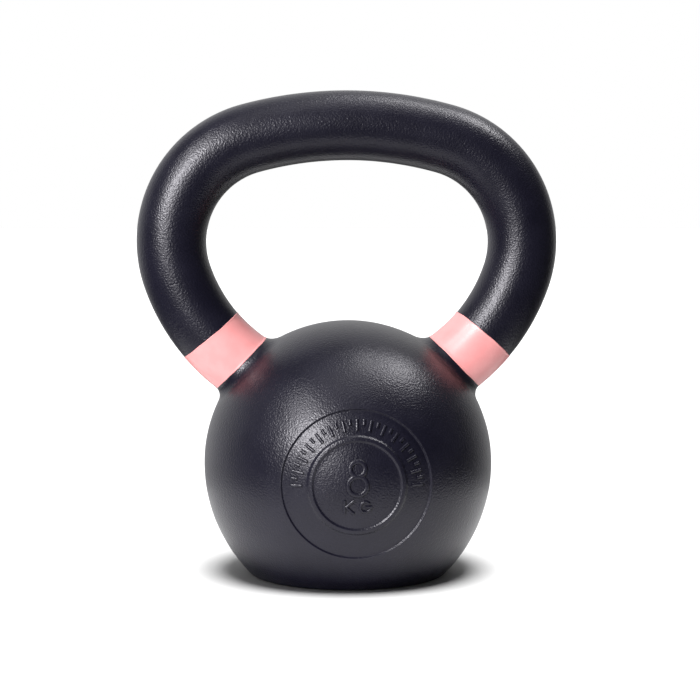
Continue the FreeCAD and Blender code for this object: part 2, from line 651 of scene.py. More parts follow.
def ripple(at: Points, height: float) -> np.ndarray:
    """Slow unevenness of a sand casting.

    Args:
        at: Points, one row each.
        height: Largest rise.

    Returns:
        The rise at each point.
    """
    total = np.zeros(len(at))
    for wave in RIPPLE_WAVES:
        total += np.sin(at @ np.array(wave.direction) * 2.0 * math.pi / wave.length + wave.phase)
    return total * height / len(RIPPLE_WAVES)


class Shell:
    """Vertices and faces of a piece while it is put together from rings."""

    fold_facing = 0.3
    fold_fine = 1.0
    sharp_angle = 50.0

    def __init__(self) -> None:
        """Start empty."""
        self.at: Points = np.zeros((0, 3))
        self.faces: list[tuple[int, ...]] = []

    def ring(self, points: Points) -> np.ndarray:
        """Add points and return their numbers."""
        first = len(self.at)
        self.at = np.vstack([self.at, points])
        return np.arange(first, len(self.at))

    def strip(self, low: np.ndarray, high: np.ndarray) -> None:
        """Join two closed rings of the same count with quads."""
        count = len(low)
        for k in range(count):
            n = (k + 1) % count
            self.faces.append((low[k], low[n], high[n], high[k]))

    def fan(self, ring: np.ndarray, tip: int) -> None:
        """Close a ring onto one point."""
        count = len(ring)
        for k in range(count):
            self.faces.append((ring[k], ring[(k + 1) % count], tip))

    def _area(self, loop: np.ndarray) -> np.ndarray:
        """Area of a loop as a vector square to it."""
        return np.cross(self.at[loop], self.at[np.roll(loop, -1)]).sum(0)

    def stitch(self, inner: np.ndarray, outer: np.ndarray, centre: np.ndarray) -> None:
        """Join two closed loops of different counts with triangles, the shorter way each time.

        Args:
            inner: Numbers of the inner loop's points, in walking order.
            outer: Numbers of the outer loop's points, in walking order.
            centre: Point behind the surface that the loops lie on.
        """
        area = self._area(inner)
        if area @ self._area(outer) < 0.0:
            outer = outer[::-1]
        spin = math.copysign(1.0, area @ (self.at[inner].mean(0) - centre))
        start = np.linalg.norm(self.at[outer] - self.at[inner[0]], axis=1).argmin()
        outer = np.append(np.roll(outer, -start), outer[start])
        inner = np.append(inner, inner[0])
        i = 0
        o = 0
        while i < len(inner) - 1 or o < len(outer) - 1:
            choices = []
            if i < len(inner) - 1:
                choices.append(((inner[i], outer[o], inner[i + 1]), (outer[o], inner[i + 1])))
            if o < len(outer) - 1:
                choices.append(((inner[i], outer[o], outer[o + 1]), (inner[i], outer[o + 1])))
            face, _ = min(choices, key=lambda choice: self._stitch_cost(*choice, centre, spin))
            self.faces.append(face)
            if face[2] == inner[min(i + 1, len(inner) - 1)]:
                i += 1
            else:
                o += 1

    def _stitch_cost(self, face: tuple[int, ...], edge: tuple[int, int], centre: np.ndarray,
                     spin: float) -> float:
        """Length of the edge that a stitch adds, with a fine on a stitch that would fold over."""
        first, second, third = self.at[list(face)]
        normal = np.cross(second - first, third - first)
        out = first - centre
        facing = spin * (normal @ out) / (np.linalg.norm(normal) * np.linalg.norm(out))
        length = float(np.linalg.norm(self.at[edge[0]] - self.at[edge[1]]))
        return length + (self.fold_fine if facing < self.fold_facing else 0.0)

    def open_loops(self) -> list[list[int]]:
        """Loops of edges that only one face uses, each in walking order."""
        edges = set()
        for face in self.faces:
            for a, b in zip(face, face[1:] + face[:1]):
                edges.add((a, b))
        following = {a: b for a, b in edges if (b, a) not in edges}
        loops = []
        while following:
            start, here = following.popitem()
            loop = [start]
            while here != start:
                loop.append(here)
                here = following.pop(here)
            loops.append(loop)
        return loops

    def tidy(self) -> None:
        """Drop points that no face uses."""
        used = sorted({number for face in self.faces for number in face})
        moved = {old: new for new, old in enumerate(used)}
        self.at = self.at[used]
        self.faces = [tuple(moved[number] for number in face) for face in self.faces]

    def face_out(self, outward: Points) -> None:
        """Wind every face so that it looks the way its points' outward directions do."""
        turned = []
        for face in self.faces:
            corners = self.at[list(face)]
            normal = np.cross(corners[1] - corners[0], corners[-1] - corners[0])
            same = normal @ outward[list(face)].sum(0) > 0.0
            turned.append(face if same else face[::-1])
        self.faces = turned

    def thicken(self, outward: Points, thickness: float) -> None:
        """Turn an open sheet into a closed skin by adding its inner wall and its rims."""
        count = len(self.at)
        loops = self.open_loops()
        self.at = np.vstack([self.at, self.at - outward * thickness])
        self.faces += [tuple(number + count for number in face[::-1]) for face in self.faces]
        for loop in loops:
            for a, b in zip(loop, loop[1:] + loop[:1]):
                self.faces.append((b, a, a + count, b + count))

    def mesh(self, name: str, material: bpy.types.Material) -> bpy.types.Mesh:
        """Make the mesh.

        Args:
            name: Name of the mesh.
            material: Its finish.

        Returns:
            The mesh.
        """
        made = bpy.data.meshes.new(name)
        made.from_pydata(self.at.tolist(), [], [tuple(int(n) for n in face) for face in self.faces])
        made.materials.append(material)
        return made


def add_piece(name: str, mesh: bpy.types.Mesh, slot: Slot, *nodes: str) -> bpy.types.Object:
    """Put a finished mesh in the scene as a piece of the kettlebell.

    Args:
        name: Name of the piece.
        mesh: Its mesh, in place.
        slot: Finish in the record; not used.
        nodes: CAD nodes that it stands for.

    Returns:
        The piece.
    """
    mesh.name = name
    mesh.shade_smooth()
    mesh.set_sharp_from_angle(angle=math.radians(Shell.sharp_angle))
    piece = bpy.data.objects.new(name, mesh)
    bpy.context.scene.collection.objects.link(piece)
    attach(piece, Body.ROOT.value)
    if nodes:
        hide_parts(*nodes)
    LOG.info("%s: %d vertices, %d faces", name, len(mesh.vertices), len(mesh.polygons))
    return piece


# ---------------------------------------------------------------------------------------------------------
# Medallion
# ---------------------------------------------------------------------------------------------------------


@dataclass(frozen=True)
class Stroke:
    """One raised stroke of a mark, as a line in the medallion's own flat plane."""

    points: tuple[tuple[float, float], ...]
    closed: bool = False


@dataclass
class Medallion:
    """Round recess on the front of the bell, its ring, its dial and its weight mark."""

    form: CastForm
    centre_z: float = 45.0 * MM
    radius: float = 29.6 * MM
    depth: float = 0.8 * MM
    ring_radius: float = 18.5 * MM
    ring_width: float = 1.9 * MM
    ring_drop: float = 0.12 * MM
    wall_width: float = 0.95 * MM
    ring_wall_width: float = 1.1 * MM
    ring_wall_shift: float = 0.1 * MM
    inner_rings: tuple[float, ...] = (1.5, 3.5, 6.0, 8.5, 11.0, 13.5, 15.5)
    outer_rings: tuple[float, ...] = (21.0, 23.0, 25.0, 27.0, 28.3)
    step_rings: int = 8
    sectors: int = 288
    land: float = 2.2 * MM
    land_ring: float = 0.9 * MM
    grid_gap: float = 1.2 * MM
    dial_bars: int = 15
    dial_outer_radius: float = 26.0 * MM
    dial_bar_length: float = 4.2 * MM
    dial_short_length: float = 2.0 * MM
    dial_bar_width: float = 1.4 * MM
    figure_stroke: float = 1.9 * MM
    figure_upper_radius: float = 3.9 * MM
    figure_lower_radius: float = 4.7 * MM
    figure_waist: float = 4.0 * MM
    letter_height: float = 5.4 * MM
    letter_width: float = 4.4 * MM
    letter_stroke: float = 1.3 * MM
    letter_gap: float = 1.8 * MM
    letter_drop: float = 8.2 * MM
    mark_rise: float = 0.66 * MM
    mark_root: float = 0.6 * MM
    mark_round: float = 0.62 * MM

    def profile(self) -> list[tuple[float, float]]:
        """Distance from the centre and depth of each ring of the recess, from the middle outwards."""
        inner = self.ring_radius - self.ring_width / 2
        outer = self.ring_radius + self.ring_width / 2
        rings = [(radius * MM, self.depth) for radius in self.inner_rings]
        rings += self._step(inner - self.ring_wall_shift, self.ring_wall_width, self.depth, self.ring_drop)
        rings += self._step(outer + self.ring_wall_shift, self.ring_wall_width, self.ring_drop, self.depth)
        rings += [(radius * MM, self.depth) for radius in self.outer_rings]
        rings += self._step(self.radius, self.wall_width, self.depth, 0.0)
        rings += [(self.radius + self.land_ring, 0.0), (self.radius + self.land, 0.0)]
        return rings

    def _step(self, radius: float, width: float, before: float, after: float) -> list[tuple[float, float]]:
        """Rings of one soft step from depth before to depth after, round a radius."""
        rings = []
        for k in range(self.step_rings + 1):
            share = k / self.step_rings
            eased = share * share * (3.0 - 2.0 * share)
            rings.append((radius + (share - 0.5) * width, before + (after - before) * eased))
        return rings

    def add_recess(self, shell: Shell) -> np.ndarray:
        """Add the recess to the bell's shell.

        Args:
            shell: The bell's shell.

        Returns:
            Numbers of its outermost ring.
        """
        turn = np.linspace(-math.pi, math.pi, self.sectors, endpoint=False)
        middle = shell.ring(self.form.front(np.zeros(1), np.full(1, self.centre_z), self.depth))[0]
        previous = None
        for radius, depth in self.profile():
            across = radius * np.cos(turn)
            up = self.centre_z + radius * np.sin(turn)
            ring = shell.ring(self.form.front(across, up, depth))
            if previous is None:
                shell.fan(ring, middle)
            else:
                shell.strip(previous, ring)
            previous = ring
        return previous

    def hole(self) -> float:
        """Radius within which the medallion's own rings take the place of the bell's grid."""
        return self.radius + self.land + self.grid_gap

    def _raise(self, tree: GeometryTree, lines: Wire, width: Wire) -> Wire:
        """Nodes that turn flat lines into raised strokes with rounded edges."""
        rise = tree.named("Mark Rise", "Float", self.mark_rise)
        root = tree.named("Mark Root", "Float", self.mark_root)
        edge = tree.named("Edge Round", "Float", self.mark_round)
        section = tree.add("GeometryNodeCurvePrimitiveQuadrilateral", {"mode": "RECTANGLE"},
                           {"Width": width, "Height": rise + root})
        rounded = tree.add("GeometryNodeFilletCurve", {"mode": "POLY"},
                           {"Curve": section, "Count": 3, "Radius": edge})
        strokes = tree.add("GeometryNodeCurveToMesh", {},
                           {"Curve": lines, "Profile Curve": rounded, "Fill Caps": True})
        lift = tree.add("ShaderNodeCombineXYZ", {}, {"Z": (rise - root) * 0.5})
        return tree.add("GeometryNodeSetPosition", {}, {"Geometry": strokes, "Offset": lift})

    def dial_mesh(self, material: bpy.types.Material) -> bpy.types.Mesh:
        """Radial bars of the dial, long and short by turns, flat in their own plane."""
        tree = GeometryTree("dial_bars")
        count = tree.named("Long Bars", "Int", self.dial_bars)
        outer = tree.named("Outer Radius", "Float", self.dial_outer_radius)
        long = tree.named("Long Bar", "Float", self.dial_bar_length)
        short = tree.named("Short Bar", "Float", self.dial_short_length)
        width = tree.named("Bar Width", "Float", self.dial_bar_width)
        total = count * 2.0 - 1.0
        number = tree.add("GeometryNodeInputIndex")
        turn = number / (total - 1.0) * math.pi
        is_short = number % 2.0
        length = long + (short - long) * is_short
        middle = outer - length * 0.5
        line = tree.add("GeometryNodeMeshLine", {"mode": "OFFSET"}, {"Count": total})
        place = tree.add("ShaderNodeCombineXYZ", {}, {"X": turn.cos() * middle, "Y": turn.sin() * middle})
        spots = tree.add("GeometryNodeSetPosition", {}, {"Geometry": line, "Position": place})
        bar = tree.add("GeometryNodeCurvePrimitiveLine", {},
                       {"Start": (-0.5, 0.0, 0.0), "End": (0.5, 0.0, 0.0)})
        lean = tree.add("ShaderNodeCombineXYZ", {}, {"Z": turn})
        size = tree.add("ShaderNodeCombineXYZ", {}, {"X": length, "Y": 1.0, "Z": 1.0})
        bars = tree.add("GeometryNodeInstanceOnPoints", {},
                        {"Points": spots, "Instance": bar, "Rotation": lean, "Scale": size})
        real = tree.add("GeometryNodeRealizeInstances", {}, {"Geometry": bars})
        tree.end(self._raise(tree, real, width), material)
        return tree.run(new_object("dial", bpy.data.meshes.new("dial")))

    def stroke_mesh(self, name: str, strokes: list[Stroke], width: float,
                    material: bpy.types.Material) -> bpy.types.Mesh:
        """Raised strokes along given lines, flat in their own plane.

        Args:
            name: Name of the tree and the mesh.
            strokes: The lines.
            width: Width of each stroke.
            material: Their finish.

        Returns:
            The mesh.
        """
        tree = GeometryTree(name)
        stroke_width = tree.named("Stroke Width", "Float", width)
        tree.end(self._raise(tree, tree.given(), stroke_width), material)
        return tree.run(new_object(name, line_curve(name, strokes)))

    def figure_strokes(self) -> list[Stroke]:
        """The figure 8: a smaller ring on a larger one."""
        reach = self.figure_stroke / 2
        upper = self.figure_upper_radius - reach
        lower = self.figure_lower_radius - reach
        return [round_stroke(0.0, self.figure_waist + upper, upper, 0.0, 360.0),
                round_stroke(0.0, self.figure_waist - lower, lower, 0.0, 360.0)]

    def unit_strokes(self) -> list[Stroke]:
        """The letters KG, for the unit of weight."""
        half = self.letter_height / 2
        reach = self.letter_stroke / 2
        total = self.letter_width + self.letter_gap + self.letter_height
        k_left = -total / 2
        k_right = k_left + self.letter_width
        z = -self.letter_drop
        g_x = total / 2 - half
        g_radius = half - reach
        upright = k_left + reach
        return [Stroke(((upright, z - half), (upright, z + half))),
                Stroke(((upright + reach, z), (k_right, z + half))),
                Stroke(((upright + reach, z), (k_right, z - half))),
                round_stroke(g_x, z, g_radius, 42.0, 360.0),
                Stroke(((g_x, z), (g_x + g_radius + reach, z)))]

    def drape(self, mesh: bpy.types.Mesh) -> bpy.types.Mesh:
        """Lay a flat mark on the floor of the recess, where its own height becomes height above the floor."""
        flat = read_points(mesh)
        at = self.form.front(flat[:, 0], self.centre_z + flat[:, 1], self.depth - flat[:, 2])
        mesh.vertices.foreach_set("co", at.ravel())
        mesh.update()
        return mesh

    def build_marks(self, material: bpy.types.Material) -> None:
        """Make the dial, the weight figure and its unit as raised pieces on the recess."""
        add_piece("medallion_dial", self.drape(self.dial_mesh(material)), Slot.BLACK)
        figure = self.stroke_mesh("weight_figure", self.figure_strokes(), self.figure_stroke, material)
        add_piece("weight_figure", self.drape(figure), Slot.BLACK)
        unit_mesh = self.stroke_mesh("weight_unit", self.unit_strokes(), self.letter_stroke, material)
        add_piece("weight_unit", self.drape(unit_mesh), Slot.BLACK)


def new_object(name: str, data: bpy.types.ID) -> bpy.types.Object:
    """Put data in the scene as an object."""
    obj = bpy.data.objects.new(name, data)
    bpy.context.scene.collection.objects.link(obj)
    return obj


def read_points(mesh: bpy.types.Mesh) -> Points:
    """Vertices of a mesh as an array."""
    flat = np.empty(len(mesh.vertices) * 3)
    mesh.vertices.foreach_get("co", flat)
    return flat.reshape(-1, 3)


def round_stroke(centre_x: float, centre_y: float, radius: float, start: float, end: float) -> Stroke:
    """Stroke along a circle or a part of one.

    Args:
        centre_x: Centre across.
        centre_y: Centre up.
        radius: Radius of the line.
        start: First angle in degrees.
        end: Last angle in degrees.

    Returns:
        The stroke.
    """
    closed = end - start >= 360.0
    turns = np.radians(np.linspace(start, end, ROUND_POINTS, endpoint=not closed))
    points = [(centre_x + radius * math.cos(t), centre_y + radius * math.sin(t)) for t in turns]
    return Stroke(tuple(points), closed)


def line_curve(name: str, strokes: list[Stroke]) -> bpy.types.Curve:
    """Curve data with one straight-run spline for each stroke."""
    curve = bpy.data.curves.new(name, "CURVE")
    curve.dimensions = "3D"
    for stroke in strokes:
        spline = curve.splines.new("POLY")
        spline.points.add(len(stroke.points) - 1)
        for knot, (x, y) in zip(spline.points, stroke.points):
            knot.co = (x, y, 0.0, 1.0)
        spline.use_cyclic_u = stroke.closed
    return curve


# ---------------------------------------------------------------------------------------------------------
# Bell
# ---------------------------------------------------------------------------------------------------------


@dataclass
class Bell:
    """Black coat of the bell: one grid turned about the upright axis, with rings of their own at the feet of
    the handle and at the medallion, so that every edge of the casting has a row of faces along it."""

    form: CastForm
    medallion: Medallion
    sectors: int = 232
    row_step: float = 1.7 * MM
    edge_step: float = 0.4 * MM
    skin: float = 0.25 * MM
    foot_sectors: int = 96
    foot_rim: float = 22.5 * MM
    foot_fillet_rings: int = 12
    foot_gap: float = 1.5 * MM
    foot_rises: tuple[float, ...] = (2.6 * MM, 1.8 * MM, 1.0 * MM, 0.4 * MM)
    foot_shares: tuple[float, ...] = (0.15, 0.4, 0.7, 1.0)
    ripple_height: float = 0.05 * MM
    calm_height: float = 6.0 * MM
    calm_leg: float = 8.0 * MM

    def rows(self) -> list[tuple[float, float]]:
        """Radius and height of each row of the grid, from the base up to just below the pole."""
        bell = self.form.bell
        lower_x = bell.radius - bell.lower_arc_radius
        edge = bell.edge_round
        edge_x = lower_x + math.sqrt((bell.lower_arc_radius - edge) ** 2 - (bell.centre_z - edge) ** 2)
        edge_turn = math.asin((edge - bell.centre_z) / (bell.lower_arc_radius - edge))
        crown_z = bell.centre_z - bell.crown_arc_drop
        arcs = [(edge_x, edge, edge, -math.pi / 2, edge_turn, self.edge_step),
                (lower_x, bell.centre_z, bell.lower_arc_radius, edge_turn, 0.0, self.row_step),
                (bell.side_arc_shift, bell.centre_z, bell.side_radius, 0.0, bell.crown_start, self.row_step),
                (0.0, crown_z, bell.crown_radius, bell.crown_start, math.pi / 2, self.row_step)]
        rows = [(edge_x, 0.0)]
        for x, z, radius, start, end, step in arcs:
            count = max(2, round((end - start) * radius / step))
            for k in range(1, count + 1):
                turn = start + (end - start) * k / count
                rows.append((x + radius * math.cos(turn), z + radius * math.sin(turn)))
        return rows[:-1]

    def build(self, material: bpy.types.Material) -> None:
        """Make the bell's coat."""
        shell = Shell()
        self._add_grid(shell)
        base = set(range(self.sectors))
        loops = [loop for loop in shell.open_loops() if set(loop) != base]
        self._join_medallion(shell, loops)
        for side in Side:
            self._join_foot(shell, loops, side)
        shell.tidy()
        outward = self.form.outward(shell.at)
        shell.at = shell.at + outward * self._calm_ripple(shell.at)[:, None]
        shell.face_out(outward)
        shell.thicken(outward, self.skin)
        add_piece(BELL_COAT, shell.mesh(BELL_COAT, material), Slot.BLACK, "bell_coat")

    def _calm_ripple(self, at: Points) -> np.ndarray:
        """Ripple of the casting, dying out at the ground base and at the bands."""
        leg = self.form.leg_distance(at)
        calm = np.clip(at[:, 2] / self.calm_height, 0.0, 1.0) * np.clip(leg / self.calm_leg, 0.0, 1.0)
        return ripple(at, self.ripple_height) * calm

    def _add_grid(self, shell: Shell) -> None:
        """Add the turned grid, less the faces where the medallion and the feet come."""
        turn = np.linspace(0.0, 2.0 * math.pi, self.sectors, endpoint=False)
        rings = []
        for radius, height in self.rows():
            ring = np.stack([radius * np.cos(turn), radius * np.sin(turn), np.full(self.sectors, height)], 1)
            rings.append(shell.ring(ring))
        for low, high in zip(rings, rings[1:]):
            shell.strip(low, high)
        crown_z = self.form.bell.centre_z - self.form.bell.crown_arc_drop + self.form.bell.crown_radius
        tip = shell.ring(np.array([[0.0, 0.0, crown_z]]))[0]
        shell.fan(rings[-1], tip)
        covered = self._covered(shell.at)
        shell.faces = [face for face in shell.faces if not covered[list(face)].any()]

    def _covered(self, at: Points) -> np.ndarray:
        """Whether each point lies where the medallion or a foot has its own rings."""
        aside = np.hypot(at[:, 0], at[:, 2] - self.medallion.centre_z)
        covered = (aside < self.medallion.hole()) & (at[:, 1] < 0.0)
        for side in Side:
            axis, across = self._foot_axes(side)
            offset = at - self._centre()
            distance = np.hypot(offset @ across, offset[:, 1])
            covered |= (distance < self.foot_rim + self.foot_gap) & (offset @ axis > 0.0)
        return covered

    def _centre(self) -> np.ndarray:
        """Centre of the bell."""
        return np.array([0.0, 0.0, self.form.bell.centre_z])

    def _foot_axes(self, side: Side) -> tuple[np.ndarray, np.ndarray]:
        """Axis of a leg's foot, from the bell's centre, and the direction across it in the handle's plane."""
        foot = self.form.line.point(self.form.line.band_lower) - self._centre()
        foot[0] *= side.value
        axis = foot / np.linalg.norm(foot)
        return axis, np.array([axis[2], 0.0, -axis[0]])

    def _join_medallion(self, shell: Shell, loops: list[list[int]]) -> None:
        """Add the recess and stitch it to the grid."""
        loop = min(loops, key=lambda numbers: shell.at[numbers][:, 1].mean())
        shell.stitch(self.medallion.add_recess(shell), np.array(loop), self._centre())

    def _join_foot(self, shell: Shell, loops: list[list[int]], side: Side) -> None:
        """Add the fillet round one foot, and stitch it to the grid."""
        axis, across = self._foot_axes(side)
        turn = np.linspace(-math.pi, math.pi, self.foot_sectors, endpoint=False)
        aside = np.outer(np.cos(turn), across) + np.outer(np.sin(turn), BACK)
        previous = None
        for out, up in self._foot_rings():
            points = self._centre() + aside * out + axis * up
            ring = shell.ring(self.form.settle(points))
            if previous is not None:
                shell.strip(previous, ring)
            previous = ring
        loop = max(loops, key=lambda numbers: shell.at[numbers][:, 0].mean() * side.value)
        shell.stitch(previous, np.array(loop), self._centre())

    def _foot_rings(self) -> list[tuple[float, float]]:
        """Distance aside and along the foot's axis of each ring, from under the band down onto the bell."""
        radius = self.form.bell.radius
        fillet = self.form.fillet
        bar = self.form.line.bar_radius
        fillet_up = math.sqrt((radius + fillet) ** 2 - (bar + fillet) ** 2)
        last = math.atan2(fillet_up, bar + fillet)
        rings = [(bar, fillet_up + rise) for rise in self.foot_rises]
        for k in range(self.foot_fillet_rings + 1):
            turn = last * k / self.foot_fillet_rings
            rings.append((bar + fillet - fillet * math.cos(turn), fillet_up - fillet * math.sin(turn)))
        near = rings[-1][0]
        for share in self.foot_shares:
            out = near + (self.foot_rim - near) * share
            rings.append((out, math.sqrt(radius ** 2 - out ** 2)))
        return rings


# ---------------------------------------------------------------------------------------------------------
# Handle and bands
# ---------------------------------------------------------------------------------------------------------


@dataclass
class Handle:
    """Black coat of the handle, swept along its centreline from band to band."""

    line: HandleLine
    sectors: int = 112
    step: float = 1.5 * MM
    skin: float = 0.25 * MM
    under_band: float = 1.2 * MM
    ripple_height: float = 0.09 * MM
    ripple_length: float = 24.0 * MM

    def centreline(self) -> bpy.types.Curve:
        """The centreline as a curve, from the left band to the right one."""
        leg_radius = self.line.spans()[-1][1]
        end = self.line.band_upper + self.under_band / leg_radius
        half = [self.line.point(heading) for heading in self.line.headings(end, self.step)]
        whole = [point * MIRROR for point in half[:0:-1]] + half
        curve = bpy.data.curves.new("handle_line", "CURVE")
        curve.dimensions = "3D"
        spline = curve.splines.new("POLY")
        spline.points.add(len(whole) - 1)
        for knot, point in zip(spline.points, whole):
            knot.co = (*point, 1.0)
        return curve

    def build(self, material: bpy.types.Material) -> None:
        """Make the handle's coat."""
        tree = GeometryTree("handle_bar")
        radius = tree.named("Bar Radius", "Float", self.line.bar_radius)
        sectors = tree.named("Sectors", "Int", self.sectors)
        height = tree.named("Ripple Height", "Float", self.ripple_height)
        length = tree.named("Ripple Length", "Float", self.ripple_length)
        section = tree.add("GeometryNodeCurvePrimitiveCircle", {"mode": "RADIUS"},
                           {"Resolution": sectors, "Radius": radius}, "Curve")
        bar = tree.add("GeometryNodeCurveToMesh", {}, {"Curve": tree.given(), "Profile Curve": section})
        uneven = tree.add("ShaderNodeTexNoise", {"noise_dimensions": "3D"},
                          {"Scale": 1.0 / length, "Detail": 1.0}, "Fac")
        normal = tree.add("GeometryNodeInputNormal")
        shift = tree.add("ShaderNodeVectorMath", {"operation": "SCALE"},
                         {0: normal, "Scale": (uneven - 0.5) * height})
        cast = tree.add("GeometryNodeSetPosition", {}, {"Geometry": bar, "Offset": shift})
        tree.end(cast, material)
        mesh = tree.run(new_object("handle_line", self.centreline()))
        add_piece("handle_powder_coat", self._skinned(mesh), Slot.BLACK, "handle_coat")

    def _skinned(self, mesh: bpy.types.Mesh) -> bpy.types.Mesh:
        """Give the swept sheet its thickness, inwards."""
        obj = new_object("handle_skin", mesh)
        solidify = obj.modifiers.new("skin", "SOLIDIFY")
        solidify.thickness = self.skin
        solidify.offset = -1.0
        ready = bpy.context.evaluated_depsgraph_get()
        ready.update()
        made = bpy.data.meshes.new_from_object(obj.evaluated_get(ready), depsgraph=ready)
        bpy.data.objects.remove(obj)
        return made


@dataclass
class Band:
    """Pink enamel round the foot of one leg, between two hand-masked edges."""

    form: CastForm
    side: Side
    sectors: int = 160
    rise: float = 0.10 * MM
    lip: float = 0.07 * MM
    lip_width: float = 0.45 * MM
    edge_round: float = 0.18 * MM
    root: float = 0.28 * MM
    tuck: float = 0.06 * MM
    edge_places: tuple[float, ...] = (0.0, 0.04, 0.09, 0.18, 0.3, 0.45, 0.65, 0.9, 1.3)
    ring_step: float = 1.0 * MM
    waver: float = 0.22 * MM
    waves: tuple[tuple[float, float, float], ...] = ((0.5, 2.0, 1.0), (0.3, 5.0, 2.1), (0.2, 11.0, 3.7))
    first_phase: float = 0.7
    side_phase: float = 1.3
    lower_phase: float = 2.0

    def _edge(self, turn: np.ndarray, phase: float) -> np.ndarray:
        """Wander of a masked edge round the leg, as a length along it."""
        return self.waver * sum(share * np.sin(count * turn + shift * phase)
                                for share, count, shift in self.waves)

    def _shares(self, length: float) -> list[float]:
        """Places across the band, close together at its edges, as distances from the upper edge."""
        near = [place * MM for place in self.edge_places]
        count = round((length - 2.0 * near[-1]) / self.ring_step)
        middle = [near[-1] + (length - 2.0 * near[-1]) * k / count for k in range(1, count)]
        return near + middle + [length - place for place in near[::-1]]

    def _height(self, place: float, length: float) -> float:
        """Height of the enamel above the leg, with a rounded edge and a slight lip beside it."""
        inward = min(place, length - place)
        share = min(inward / self.edge_round, 1.0)
        rounded = math.sqrt(1.0 - (1.0 - share) ** 2)
        lip = self.lip * math.exp(-((inward - self.edge_round) / self.lip_width) ** 2)
        return rounded * (self.rise + lip) - (1.0 - rounded) * self.tuck

    def _ring(self, share: float, wander: np.ndarray, turn: np.ndarray) -> Points:
        """Points on the leg's surface round it.

        Args:
            share: Place between the band's upper edge, 0, and its lower edge, 1.
            wander: Length along the leg that each point is moved by.
            turn: Angle of each point round the leg.

        Returns:
            The points.
        """
        line = self.form.line
        heading = line.band_upper + (line.band_lower - line.band_upper) * share
        facing = line.band_upper + line.band_taper * share
        centres = np.array([line.point(heading + length / self.form.leg_radius) for length in wander])
        out = line.outward(facing)
        aside = np.outer(np.cos(turn), out) + np.outer(np.sin(turn), BACK)
        reach = np.full(len(turn), line.bar_radius)
        step = self.form.slope_step
        for _ in range(SETTLE_ROUNDS):
            at = centres + aside * reach[:, None]
            here = self.form.distance(at)
            rate = (self.form.distance(at + aside * step) - here) / step
            reach = reach - here / rate
        return centres + aside * reach[:, None]

    def build(self, material: bpy.types.Material) -> None:
        """Make the band."""
        line = self.form.line
        length = (line.band_lower - line.band_upper) * self.form.leg_radius
        turn = np.linspace(-math.pi, math.pi, self.sectors, endpoint=False)
        phase = self.first_phase + self.side.value * self.side_phase
        upper = self._edge(turn, phase)
        lower = self._edge(turn, phase + self.lower_phase)
        shell = Shell()
        outer = []
        inner = []
        for place in self._shares(length):
            share = place / length
            ring = self._ring(share, upper + (lower - upper) * share, turn)
            outward = self.form.outward(ring)
            outer.append(shell.ring(ring + outward * self._height(place, length)))
            inner.append(shell.ring(ring - outward * self.root))
        rings = outer + inner[::-1]
        for low, high in zip(rings, rings[1:] + rings[:1]):
            shell.strip(high, low)
        if self.side is Side.LEFT:
            shell.at = shell.at * MIRROR
            shell.faces = [face[::-1] for face in shell.faces]
        name = self.side.name.lower()
        mesh = shell.mesh(f"{name}_band_enamel", material)
        add_piece(f"{name}_band_enamel", mesh, Slot.PINK, f"{name}_band")


# ---------------------------------------------------------------------------------------------------------
# Studio
# ---------------------------------------------------------------------------------------------------------


@dataclass(frozen=True)
class Softbox:
    """A rectangular lamp that looks at the kettlebell; its size is given as angles seen from there."""

    name: str
    azimuth: float
    elevation: float
    spread_across: float
    spread_up: float
    strength: float
    distance: float = 0.9

    def build(self, target: Vector, spared: bpy.types.Collection) -> None:
        """Make the lamp.

        Args:
            target: Point that it looks at.
            spared: Collection whose objects it doesn't light.
        """
        light = bpy.data.lights.new(self.name, "AREA")
        light.shape = "RECTANGLE"
        light.size = 2.0 * self.distance * math.tan(math.radians(self.spread_across))
        light.size_y = 2.0 * self.distance * math.tan(math.radians(self.spread_up))
        light.energy = math.pi * self.strength * self.distance ** 2
        lamp = new_object(self.name, light)
        direction = from_angles(self.azimuth, self.elevation)
        lamp.location = target + direction * self.distance
        lamp.rotation_euler = direction.to_track_quat("Z", "Y").to_euler()
        lamp.light_linking.receiver_collection = spared


def from_angles(azimuth: float, elevation: float) -> Vector:
    """Direction at an azimuth, 0 at the front and 90 on the right, and an elevation, in degrees."""
    a = math.radians(azimuth)
    e = math.radians(elevation)
    return Vector((math.sin(a) * math.cos(e), -math.cos(a) * math.cos(e), math.sin(e)))


@dataclass(frozen=True)
class Glow:
    """A soft bright area of the surroundings."""

    azimuth: float
    elevation: float
    reach: float
    strength: float

    def build(self, tree: Tree, direction: Wire) -> Wire:
        """Add the area's light.

        Args:
            tree: The surroundings' tree.
            direction: Direction that is looked in.

        Returns:
            The light from that direction.
        """
        middle = from_angles(self.azimuth, self.elevation)
        near = tree.add("ShaderNodeVectorMath", {"operation": "DOT_PRODUCT"},
                        {0: direction, 1: middle}, "Value")
        return tree.spread(near, math.cos(math.radians(self.reach)), 1.0, self.strength)


